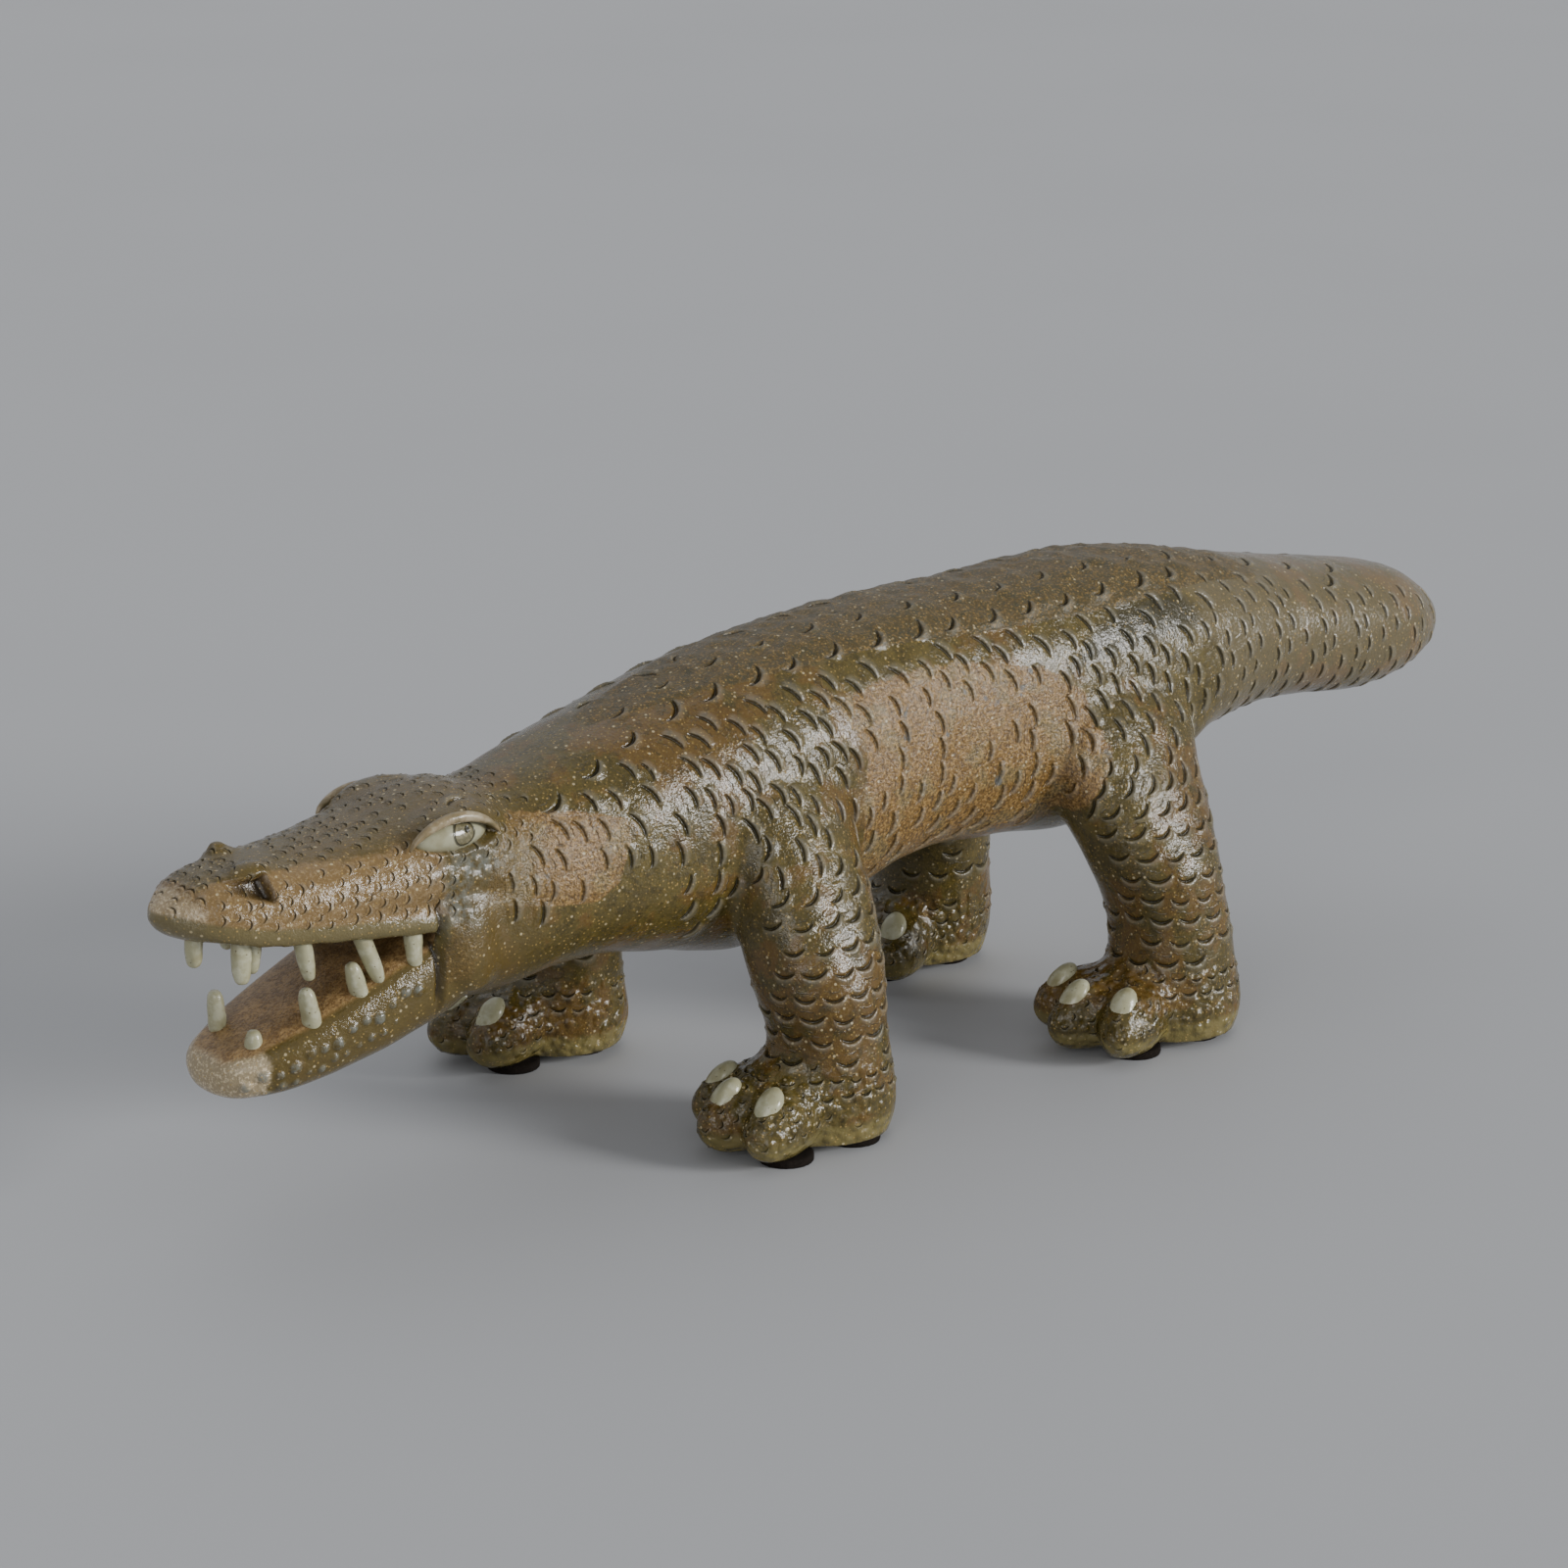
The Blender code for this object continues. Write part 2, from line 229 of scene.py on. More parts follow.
def lump(clay, centre, sizes, yaw=0, pitch=0, rounds=(32, 20), taper=0, blunt=2):
    """An egg of clay, with pitch lifting its +X end and taper narrowing that end. Above 2, blunt
    makes it a peg with round ends."""
    new = bmesh.ops.create_uvsphere(
        clay, u_segments=rounds[0], v_segments=rounds[1], radius=1)["verts"]
    bmesh.ops.rotate(clay, verts=new, matrix=Matrix.Rotation(math.pi / 2, 3, "Y"))
    for vert in new:
        from_middle = min(abs(vert.co.x), 0.999)
        full = (1 - from_middle ** blunt) ** (1 / blunt) / math.sqrt(1 - from_middle ** 2)
        narrowing = full * (1 - taper * (vert.co.x + 1) / 2)
        vert.co.y *= narrowing
        vert.co.z *= narrowing
    turn = Matrix.Rotation(math.radians(yaw), 4, "Z")
    turn = turn @ Matrix.Rotation(-math.radians(pitch), 4, "Y")
    size = Matrix.Diagonal((*(Vector(sizes) / 1000), 1))
    bmesh.ops.transform(clay, verts=new, matrix=Matrix.Translation(place(*centre)) @ turn @ size)


def heading(angle):
    """The way a toe points on the ground, angle degrees off straight ahead."""
    turn = math.radians(angle)
    return Vector((-math.cos(turn), math.sin(turn), 0))


def toes(leg):
    """Tip and angle of a leg's three toes."""
    stations, side, shift, ahead, reach, spread = LEGS[leg]
    _, x, y, _, _ = leg_stations(stations, side, shift)[ANKLE]
    for number in (-1, 0, 1):
        angle = ahead + number * spread
        longer = 4 if number == 0 else 0
        yield Vector((x, y, 0)) + heading(angle) * (reach + longer), angle


def object_from(name, clay):
    """The finished clay as an object in the scene."""
    mesh = bpy.data.meshes.new(name)
    clay.to_mesh(mesh)
    clay.free()
    made = bpy.data.objects.new(name, mesh)
    bpy.context.scene.collection.objects.link(made)
    return made


def settle(made):
    """Keeps what an object's modifiers made of its mesh, and drops them."""
    graph = bpy.context.evaluated_depsgraph_get()
    mesh = bpy.data.meshes.new_from_object(made.evaluated_get(graph))
    made.modifiers.clear()
    made.data = mesh


def smooth(made):
    for face in made.data.polygons:
        face.use_smooth = True


clay = bmesh.new()
coil_along(clay, TRUNK, 0.05)
coil_along(clay, HEAD, 0.13)
coil_along(clay, JAW, -0.1)
for side in (-1, 1):
    lump(clay, (-204, side * 27, 92), (13, 7.5, 21), pitch=6)
    lump(clay, (-207, side * 20, 127.5), (21, 12.5, 10), pitch=4)
    rings = []
    for x, y, low in between(UPPER_LIP, 6):
        ring = []
        for i in range(16):
            angle = math.tau * i / 16
            ring.append(place(x, side * (y + LIP_THICK * math.cos(angle)),
                              low + 4 + LIP_HIGH * math.sin(angle)))
        rings.append(ring[::side])
    skin_over(clay, rings)
lump(clay, (-281.5, -11, 125.4), (9.5, 6.2, 5.4), pitch=6)
lump(clay, (-278.5, 10.5, 128), (4.4, 4.2, 5.2))
for leg, (stations, side, shift, ahead, _, _) in LEGS.items():
    placed = leg_stations(stations, side, shift)
    coil_up(clay, placed)
    _, x, y, _, _ = placed[ANKLE]
    instep = Vector((x, y, 15)) + heading(ahead) * 17
    lump(clay, instep, (24, 21, 17), yaw=180 - ahead, pitch=-24)
    for tip, angle in toes(leg):
        middle_of_toe = tip - heading(angle) * (TOE[0] - 1) + Vector((0, 0, TOE_HEIGHT))
        lump(clay, middle_of_toe, TOE, yaw=180 - angle, pitch=-10)
body = object_from("whole_figure", clay)
blend = body.modifiers.new("blend_clay", "REMESH")
blend.mode = "VOXEL"
blend.voxel_size = CLAY_GRAIN / 1000
soften = body.modifiers.new("soften_joins", "SMOOTH")
soften.factor = 0.5
soften.iterations = 24
settle(body)


def points_of(mesh):
    """A mesh's points in the figure's own places, and its normals, as arrays."""
    found = np.empty(len(mesh.vertices) * 3)
    mesh.vertices.foreach_get("co", found)
    normals = np.empty(len(mesh.vertices) * 3)
    mesh.vertices.foreach_get("normal", normals)
    return found.reshape(-1, 3) * 1000 + (*CENTRE, -SOLE), normals.reshape(-1, 3)


def ramp(values, low, high):
    """0 below low and 1 above high, with a soft change between them."""
    t = np.clip((np.asarray(values, float) - low) / (high - low), 0, 1)
    return t * t * (3 - 2 * t)


# Scale marks: crescents gouged with a wire loop into the leather hard clay. Each row leans away
# from the head on the flanks and towards the ground on the legs; those of the back are larger.
shell = BVHTree.FromObject(body, bpy.context.evaluated_depsgraph_get())
marks = []
MOST_FOLDS = 4
JUST_PAST = 1e-5


def mark(start, out, lean, half, height, reach=200, sag=0.42, near=0):
    """A crescent where a line from start along out leaves the clay, half its width across and
    height deep. Its hollow side faces the head, turned by lean degrees upwards from the tail.
    None is made beyond reach, or nearer than near to another one."""
    way = Vector(out).normalized()
    spot, normal, _, far = shell.ray_cast(place(*start), way)
    inner = 0
    while spot is not None and inner < MOST_FOLDS:
        again, turned, _, more = shell.ray_cast(spot + way * JUST_PAST, way)
        if again is None:
            break
        spot, normal, far, inner = again, turned, far + more, inner + 1
    if spot is None or far * 1000 > reach:
        return
    tail = Vector((1, 0, 0)) - normal * normal.x
    up = Vector((0, 0, 1)) - normal * normal.z
    if tail.length < 0.2 or up.length < 0.05:
        return
    turn = math.radians(lean)
    ahead = (tail.normalized() * math.cos(turn) + up.normalized() * math.sin(turn)).normalized()
    here = spot * 1000 + Vector((*CENTRE, -SOLE))
    for there, *_ in marks:
        if (there - here).length < near:
            return
    marks.append((here, ahead, normal.copy(), half, half * sag, height))


def jitter(*seed):
    """A number from -1 to 1 that is always the same for the same seed."""
    return noise.noise(Vector([value * 3.7 + 11.3 for value in (*seed, 0, 0)[:3]])) * 1.6


def middle(x):
    """Centre and half height of the trunk at x."""
    rows = np.array(TRUNK)
    y, low, high = (np.interp(x, rows[:, 0], rows[:, i]) for i in (1, 2, 3))
    return y, (low + high) / 2, (high - low) / 2


# The ridge row: x and degrees down from the top of the back. The back's rows: degrees above the
# ridge row, first x, last x and step.
RIDGE_ROW = ((-166, 44), (-146, 36), (-126, 29), (-110, 24), (-76, 25), (-40, 27), (10, 33),
             (80, 33), (130, 33), (160, 36), (200, 42), (260, 50))
BACK_ROWS = ((0, -166, 262, 18.5), (17, -124, 240, 22), (34, -20, 120, 25))
TAIL_ROOT = 146
LEG_ROWS_END = 132
FOOT_HEIGHT = 30
for side in (-1, 1):
    column = 0
    x = -188.0
    while x < 292:
        y, centre, half = middle(x)
        tail = x > TAIL_ROOT
        across = 7.8 if tail else 10.4
        first = np.interp(x, *np.array(RIDGE_ROW).T) + (6 if tail else 12)
        turn = first + (column % 2) * math.degrees(across / 2 / half)
        while turn < 140:
            angle = math.radians(turn)
            spin = jitter(x, turn, side)
            lean = float(np.interp(turn, (40, 80, 100, 130), (30, 14, -6, -34)))
            if tail:
                lean = float(np.interp(turn, (40, 70, 120), (26, 6, -4)))
            throat = x < -120 and turn > 98
            groin = 60 < x < 150 and turn > 104
            nape = x < -176 and turn < 60
            worn = -42 < x < 58 and 66 < turn < 102 and jitter(turn, x, side) > 0.05
            if not (throat or groin or nape or worn):
                mark((x + spin * 2, y, centre),
                     (0.07 * spin, side * math.sin(angle), math.cos(angle)), lean + 13 * spin,
                     (4.1 if tail else 5.1) * (1 + 0.2 * spin), 0.6 if tail else 0.85,
                     reach=half * 1.32, sag=0.3, near=5.8 if tail else 7.2)
            turn += math.degrees(across / half)
        x += 9.6 if tail else 8.8
        column += 1
    for row, (above, first, last, step) in enumerate(BACK_ROWS):
        x = float(first)
        while x < last:
            y, centre, half = middle(x)
            angle = math.radians(max(np.interp(x, *np.array(RIDGE_ROW).T) - above, 2))
            spin = jitter(x, row, side + 5)
            mark((x + spin * 3, y, centre), (0, side * math.sin(angle), math.cos(angle)),
                 -46 + 12 * spin, (5.4 if row == 0 else 4.6) * (1 + 0.15 * spin),
                 1.3 if row == 0 else 0.9, reach=half * 1.4, sag=0.5, near=7)
            x += step
for leg, (stations, side, shift, ahead, _, _) in LEGS.items():
    rows = np.array(leg_stations(stations, side, shift))[::-1]
    row = 0
    z = 19.0
    while z < LEG_ROWS_END:
        foot = z <= FOOT_HEIGHT
        x, y, half_x, half_y = (np.interp(z, rows[:, 0], rows[:, i]) for i in (1, 2, 3, 4))
        round_leg = math.tau * (half_x + half_y) / 2
        count = int(round_leg / (7 if foot else 10.4))
        for i in range(count):
            angle = math.tau * (i + (row % 2) / 2) / count
            spin = jitter(z, i, side + x)
            outer = side * math.sin(angle) > -0.1
            if z > 62 and not outer:
                continue
            lean = float(np.interp(z, (58, 82, 100, 125), (-88, -66, -30, 20)))
            mark((x, y, z + spin), (math.cos(angle), math.sin(angle), 0), lean + 8 * spin,
                 (3 if foot else 4.9) * (1 + 0.2 * spin), 0.85,
                 reach=max(half_x, half_y) * 1.5, sag=0.5, near=5 if foot else 6.8)
        z += 6 if foot else 8.2
        row += 1
    for tip, angle in toes(leg):
        knuckle = tip - heading(angle) * 20 + Vector((0, 0, 12))
        for i in range(9):
            for j in range(9):
                spin = jitter(i, j, tip.x)
                swing = math.radians(-100 + 25 * i + 9 * (j % 2) + 8 * spin)
                way = heading(angle) * math.sin(math.radians(-50 + 16 * j)) * 1.3
                beside = heading(angle + 90) * math.sin(swing)
                mark(knuckle, way + beside + Vector((0, 0, math.cos(swing))), -60 + 40 * spin,
                     2.1, 0.55, reach=30, sag=0.8, near=4.6)


def lip_edge(x):
    """Height of the upper lip's lower edge at x."""
    return np.interp(x, *np.array(UPPER_LIP)[:, (0, 2)].T) + 0.6


for side in (-1, 1):
    mark((-205, 0, 120), (0.1, side * 0.62, 0.6), 82, 5.6, 1.1)
    column = 0
    x = -305.0
    while x < -172:
        low, high = (np.interp(x, *np.array(HEAD)[:, (0, i)].T) for i in (2, 3))
        height = lip_edge(x) + 7.5 + (column % 2) * 2.6
        while height < high + 14:
            spin = jitter(x, height, side)
            if height < high - 4:
                out = (-0.5 if x < -300 else 0, side, 0)
                level, lean = height, -14 + 12 * spin
            else:
                slant = (height - high + 4) / 18
                out = (0, side * (1.1 - slant), 0.25 + slant)
                level, lean = (low + high) / 2, 24 + 14 * spin
            if x < -212 or height > 121:
                start = (x + 1.1 * jitter(height, x, side), 0, level + 0.9 * spin)
                mark(start, out, lean, 2.4 * (1 + 0.2 * spin), 0.5, reach=60, sag=0.8, near=4.1)
            height += 5.2
        x += 4.6
        column += 1

skin, outward = points_of(body.data)
nearest = kdtree.KDTree(len(marks))
for i, (here, *_) in enumerate(marks):
    nearest.insert(here, i)
nearest.balance()
FAR = 9
known = [np.array([m[i] for m in marks]) for i in range(6)]


def near_marks(points):
    """Of the crescent that shows most at each point: the distance past its line, how much of it
    shows, and its height."""
    best = np.zeros((3, len(points)))
    best[0] = FAR
    for held in np.array([[i for _, i, _ in nearest.find_n(point, 4)] for point in points]).T:
        here, ahead, normal, half, sag, height = (values[held] for values in known)
        away = points - here
        size = np.clip(half / 4.2, 0.5, 1.3)
        across = (away * np.cross(normal, ahead)).sum(1) / half
        line = ((away * ahead).sum(1) + sag * (across ** 2 - 0.4)) / size
        ease = np.clip(1 - across ** 2, 0, 1)
        ease = ease * (1 - ramp(np.abs((away * normal).sum(1)), 2.5, 5))
        ease *= 1 - ramp(np.abs(line), 2.4, 3.4)
        better = ease * np.exp(-np.abs(line) / 1.2) > best[1] * np.exp(-np.abs(best[0]) / 1.2)
        for row, values in zip(best, (line, ease, height)):
            row[better] = values[better]
    return best


# The clay is divided finer over the head and along each crescent, so that the cuts are in the mesh.
line, ease, _ = near_marks(points_of(body.data)[0])
cut = (ease > 0.02) & (np.abs(line) < 2.4)
NECK = -176
neck = place(NECK, 0, 0).x
fine = bmesh.new()
fine.from_mesh(body.data)
edges = [e for e in fine.edges
         if all(v.co.x < neck for v in e.verts) or any(cut[v.index] for v in e.verts)]
bmesh.ops.subdivide_edges(fine, edges=edges, cuts=1, use_grid_fill=True)
fine.to_mesh(body.data)
fine.free()
skin, outward = points_of(body.data)
line, ease, height = near_marks(skin)
groove = np.exp(-(line / 0.6) ** 2)
lifted = ramp(line, 0.1, 1.2) * np.exp(-np.clip(line - 1.2, 0, 9) / 1.2)
lift = height * ease * (0.8 * lifted - 0.8 * groove)
lift += 0.35 * (skin[:, 0] < NECK) * ease * np.exp(-((line + 2.2) / 1.4) ** 2)
lift += 0.5 * np.array([noise.noise(Vector(point) / 15) for point in skin])
skin += outward * lift[:, None]


# Head: a recess under each nostril's hood, almond sockets, a cheek flap that ends in a clean edge
# at the corner of the mouth, and a row of round beads along each side of the jaw.
x, y, z = skin.T
flat = np.abs(y)
sideways = ramp(np.abs(outward[:, 1]), 0.3, 0.6)


def almond(x, z, front, back, middle, above, below):
    """1 inside an almond between two corners, falling to 0 over about 1 mm at its edge."""
    t = np.clip((x - front) / (back - front), 0, 1)
    bow = (4 * t * (1 - t)) ** 0.8
    top, bottom = middle + above * bow, middle - below * bow
    inside = np.minimum(top - z, z - bottom)
    return ramp(inside, -0.3, 0.9) * (x > front) * (x < back)


socket = almond(x, z, -225.5, -194, 127.6, 7.0, 4.2) * ramp(flat, 18, 22)
wedge = np.clip((x + 293) / 16, 0, 1)
nostril = ramp(125.8 + 1.6 * wedge - z, 0, 0.8) * ramp(z - 123.5 + 5.5 * wedge, -1, 3)
nostril *= (ramp(x, -293, -288) * (1 - ramp(x, -278, -277)) * ramp(flat, 4, 7)
            * (0.6 + 0.4 * wedge))
behind = (ramp(x, -217.5, -216) * (1 - ramp(x, -210, -190)) * ramp(z, 62, 74)
          * (1 - ramp(z, 103, 109)))
slit = (np.exp(-((x + 218.3) / 0.8) ** 2) * ramp(z, 70, 76) * (1 - ramp(z, 104, 107))
        * ramp(flat, 20, 24))
inward = -4.2 * socket - 1.2 * slit * sideways + 1.6 * behind * sideways
beads = []
for i in range(13):
    t = i / 12
    beads.append((-288 + 62 * t, 55 + 24 * t + 1.5 * math.sin(i * 1.9),
                  1.9 + 0.4 * math.sin(i * 2.3)))
for i in range(11):
    t = i / 10
    beads.append((-281 + 46 * t, 52 + 16 * t + 0.8 * math.sin(i * 2.7),
                  1.3 + 0.3 * math.sin(i * 1.7)))
bead = np.zeros(len(skin))
for bead_x, bead_z, size in beads:
    near = ((x - bead_x) ** 2 + (z - bead_z) ** 2) / size ** 2
    bead = np.maximum(bead, np.sqrt(np.clip(1 - near, 0, 1)) * size * 0.62)
bead *= ramp(flat, 8, 12) * (outward[:, 2] < 0.5) * (x < -205) * (z < 90)
skin[:, 1] += np.sign(y) * inward
skin += outward * (bead - 5.5 * nostril)[:, None]
skin[:, 2] = np.maximum(skin[:, 2], 0)


# Patches: where the glaze is thin or worn to bare clay, where it is matte, and where the mouth,
# lip, feet, snout and tail have colours of their own, kept as numbers at the points of the clay.
# Also kept: where painted shade darkens the nostril recesses and the cheek flap's slit, and where
# painted light makes the snout's and jaw's tips paler.
def keep(mesh, name, *columns):
    """Stores up to three numbers a point for the glazes."""
    stored = mesh.attributes.new(name, "FLOAT_VECTOR", "POINT")
    filled = np.zeros((len(mesh.vertices), 3), np.float32)
    for i, values in enumerate(columns):
        filled[:, i] = values
    stored.data.foreach_set("vector", filled.ravel())


def patch_of(corners, soft):
    """1 inside a patch drawn on the figure's side view, 0 outside, with an edge soft mm wide."""
    inside = np.zeros(len(x), bool)
    gap = np.full(len(x), 1e9)
    for (ax, az), (bx, bz) in zip(corners, corners[1:] + corners[:1]):
        along, up = bx - ax, bz - az
        crosses = (az > z) != (bz > z)
        inside ^= crosses & (x < along * (z - az) / (up + 1e-12) + ax)
        t = np.clip(((x - ax) * along + (z - az) * up) / (along ** 2 + up ** 2), 0, 1)
        gap = np.minimum(gap, np.hypot(x - ax - t * along, z - az - t * up))
    return ramp(np.where(inside, gap, -gap), -soft / 2, soft / 2)


rows = np.array(TRUNK)
axis = np.interp(x, rows[:, 0], (rows[:, 2] + rows[:, 3]) / 2)
turn = np.degrees(np.arctan2(np.abs(y), z - axis))
edge = np.interp(x, (-150, -124, -76, -42, 10, 150, 300), (4, 12, 23, 27, 36, 42, 44))
matte = (1 - ramp(turn, edge - 3, edge + 3)) * ramp(x, -165, -110) * ramp(z, 95, 110)
matte *= 1 - 0.8 * ramp(x, 150, 200)
gritty = np.array([noise.noise(Vector(point) / 5) + noise.noise(Vector(point) / 9)
                   for point in skin])
skin += outward * (matte * (0.4 + 0.7 * gritty))[:, None]
neck_patch = patch_of(
    [(-200, 103), (-199, 119), (-186, 131), (-160, 128), (-143, 123), (-145, 111), (-149, 102),
     (-157, 96.5), (-173, 98)], 5) * ramp(flat, 14, 20)
flank_patch = patch_of(
    [(-47, 146), (-20, 151), (20, 149), (52, 142), (69, 130), (72, 110), (58, 86), (40, 56),
     (-38, 50), (-41, 85), (-40, 112), (-38, 128)], 10) * ramp(flat, 8, 20)
tail_patch = ramp(x + (z - 120) * 0.25, 118, 166)
band = patch_of(
    [(60, 139), (78, 150), (100, 157), (128, 157), (136, 146), (112, 143), (88, 141)], 6)
jaw_rows = np.array(JAW)
jaw_half = np.interp(x, jaw_rows[:, 0], jaw_rows[:, 4])
jaw_top = np.interp(x, jaw_rows[:, 0], jaw_rows[:, 3])
floor_face = ramp(outward[:, 2], 0.2, 0.5) * (1 - ramp(flat, jaw_half - 4.5, jaw_half - 2))
floor_face *= ramp(x, -294, -290)
floor_face *= (z < 103) * (z > jaw_top - 6) * (x < -196)
edge_z = lip_edge(x)
inner_lip = np.interp(x, (-306, -303, -281, -246, -214), (4, 7, 16.5, 22, 25))
roof_face = ramp(-outward[:, 2], 0.1, 0.4) * (z > 90) * (z < edge_z + 9)
roof_face *= (x < -200) * (x > -304)
roof_face *= 1 - ramp(flat, inner_lip, inner_lip + 2)
deep_mouth = (x > -222) * (x < -196) * (flat < 25) * (z > 76) * (z < 106)
mouth = np.clip(floor_face + roof_face + deep_mouth, 0, 1)
# The jaw's tip and the snout's tip are painted a pale pinkish tan, partly their own tone and partly
# painted light for the light they catch.
tip = (1 - ramp(x, -285, -277)) * (1 - ramp(z, 70, 76))
lip = (1 - ramp(z, edge_z + 5.5, edge_z + 7)) * ramp(z, 90, 94)
lip *= (1 - ramp(x, -217, -214)) * (1 - mouth)
foot = (1 - ramp(z, 24, 34)) * (x > -160)
under_eye = np.exp(-((x + 205) / 13) ** 2 - ((z - 118.5) / 5) ** 2) * (flat > 18)
cheek = 0.68 * ramp(x, -217, -216) * (1 - ramp(x, -213, -198)) * (1 - ramp(z, 96, 112))
cheek *= ramp(z, 68, 84) * ramp(flat, 16, 20)
cheek_knots = np.exp(-((x + 212) / 6) ** 2 - ((z - 106) / 8) ** 2) * (flat > 18)
snout = (1 - ramp(x, -222, -208)) * ramp(z, 100, 103) * (1 - ramp(z, 124, 129))
snout *= np.maximum(ramp(flat, 4, 14), 1 - ramp(x, -304, -293))
snout = np.maximum(snout, np.exp(-((x + 226) / 14) ** 2 - ((z - 121) / 9) ** 2))
snout_tip_and_light = 0.75 * (1 - ramp(x, -306, -294)) * (z > 100)
sole = 1 - ramp(z, 3, 13)
pebbled = np.clip(0.85 * foot + under_eye + 0.8 * cheek_knots, 0, 1)
greyish = np.clip(under_eye + np.clip(bead, 0, 1) + cheek_knots, 0, 1)
keep(body.data, "mark", line, ease * height)
keep(body.data, "patches", matte, np.maximum(np.maximum(neck_patch, flank_patch), cheek), band)
keep(body.data, "places", mouth, lip, pebbled)
keep(body.data, "tints", snout, np.maximum(tip, snout_tip_and_light), sole)
# First number: painted shade, darkening the nostril recesses and the cheek flap's slit.
keep(body.data, "hollows", np.maximum(nostril, slit), tail_patch, greyish)
body.data.vertices.foreach_set("co", ((skin - (*CENTRE, -SOLE)) / 1000).ravel())
body.data.update()
smooth(body)


# Olive glaze: a thin salt glaze over iron-rich clay, olive to rust brown, with ash specks, and
# pooled dark in the cuts. A pale edge on the lip of each cut is partly glaze breaking thin and
# partly painted highlight. Painted shade darkens the nostril recesses and the cheek flap's slit,
# and painted light makes the snout's and jaw's tips paler. It is fired on, and leaves patches of
# bare clay.
class Glaze:
    """A socket of a material, so that a glaze is written as sums of its layers."""

    def __init__(self, tree, socket=None):
        self.tree, self.socket = tree, socket

    def node(self, kind, values=None, output=0, **settings):
        """One output of a new node with these settings and values or links."""
        made = self.tree.nodes.new("ShaderNode" + kind)
        for name, value in settings.items():
            setattr(made, name, value)
        for name, value in (values or {}).items():
            into = made.inputs[name]
            if isinstance(value, Glaze):
                self.tree.links.new(value.socket, into)
            elif into.type == "RGBA" and len(value) == 3:
                into.default_value = (*value, 1)
            else:
                into.default_value = value
        return Glaze(self.tree, made.outputs[output])

    def sum_of(self, operation, *values):
        return self.node("Math", dict(enumerate(values)), operation=operation)

    def __add__(self, other):
        return self.sum_of("ADD", self, other)

    def __sub__(self, other):
        return self.sum_of("SUBTRACT", self, other)

    def __rsub__(self, other):
        return self.sum_of("SUBTRACT", other, self)

    def __mul__(self, other):
        return self.sum_of("MULTIPLY", self, other)

    def __abs__(self):
        return self.sum_of("ABSOLUTE", self)

    __radd__ = __add__
    __rmul__ = __mul__

    def exp(self):
        return self.sum_of("EXPONENT", self)

    def rise(self, low, high):
        """0 below low and 1 above high."""
        return self.node("MapRange", {"Value": self, "From Min": low, "From Max": high},
                         interpolation_type="SMOOTHSTEP")

    def cloud(self, size, detail=3.0, rough=0.5):
        """Noise from 0 to 1 in lumps of size millimetres."""
        return self.node("TexNoise", {"Vector": self, "Scale": 1000 / size, "Detail": detail,
                                      "Roughness": rough})

    def cells(self, size):
        """Distance from the middles of cells that are size millimetres apart."""
        return self.node("TexVoronoi", {"Vector": self, "Scale": 1000 / size})

    def soft_cells(self, size, smooth):
        return self.node("TexVoronoi", {"Vector": self, "Scale": 1000 / size, "Smoothness": smooth},
                         feature="SMOOTH_F1")

    def bump(self):
        """The normal of a surface with this height in millimetres."""
        return self.node("Bump", {"Strength": 1.0, "Distance": 0.001, "Height": self})

    def parts(self):
        split = self.node("SeparateXYZ", {0: self})
        return split, *(Glaze(self.tree, split.socket.node.outputs[i]) for i in (1, 2))

    def stored(self, name):
        """The three numbers that keep stored under a name."""
        return self.node("Attribute", attribute_name=name, output=1).parts()


def start_glaze(name):
    """A new material, a maker of its nodes, and the places on the piece."""
    made = bpy.data.materials.new(name)
    made.use_nodes = True
    bare = Glaze(made.node_tree)
    places = bare.node("TexCoord", output=3)
    return made, bare, places


def finish_glaze(made, colour, roughness, normal=None, **constants):
    shader = made.node_tree.nodes["Principled BSDF"]
    link = made.node_tree.links.new
    link(colour.socket, shader.inputs["Base Color"])
    if isinstance(roughness, Glaze):
        link(roughness.socket, shader.inputs["Roughness"])
    else:
        shader.inputs["Roughness"].default_value = roughness
    if normal:
        link(normal.socket, shader.inputs["Normal"])
    for name, value in constants.items():
        shader.inputs[name.replace("_", " ")].default_value = value


def layered(bare, *layers):
    """Colours laid over each other, from the first, each with its mask."""
    under = layers[0]
    for colour, mask in layers[1:]:
        under = bare.node("Mix", {0: mask, 6: under, 7: colour}, 2, data_type="RGBA")
    return under


made, bare, places = start_glaze("olive_salt_glaze")
line, ease, _ = bare.stored("mark")
matte, patch, band = bare.stored("patches")
mouth, lip, pebbled = bare.stored("places")
snout, pale_tips_and_light, sole = bare.stored("tints")
painted_recess_shade, tail, greyish = bare.stored("hollows")
broad = places.cloud(60, 3)
middling = places.cloud(13, 4, 0.6)
small = places.cloud(3.4, 4, 0.65)
grain = places.cloud(1.1, 3, 0.7)
head = 1 - bare.node("SeparateXYZ", {0: places}).rise(neck - 0.02, neck + 0.01)
ragged = (middling - 0.5) * 1.2 + (small - 0.5) * 0.9
shown = ease.rise(0.05, 0.55)
groove = (line * line * -7).exp() * shown
# Painted highlight: crest is a pale edge on the lip of each cut, partly glaze breaking thin there
# and partly standing in for the lip's glint.
crest = line.rise(0.25, 0.8) * (line * -0.9).exp() * shown
bare_clay = (patch + ragged * 0.8).rise(0.38, 0.62)
back = (matte + ragged * 0.35).rise(0.38, 0.62)
rust = (middling + (broad - 0.5) * 0.9).rise(0.5, 0.62)
speckles = (1 - places.cells(3.4).rise(0.1, 0.2)) * places.cloud(5, 1).rise(0.4, 0.55)
fine_specks = (1 - places.cells(1.7).rise(0.12, 0.26)) * places.cloud(2.6, 1).rise(0.36, 0.5)
light_grain = grain.rise(0.5, 0.64)
dark_grain = 1 - grain.rise(0.36, 0.5)
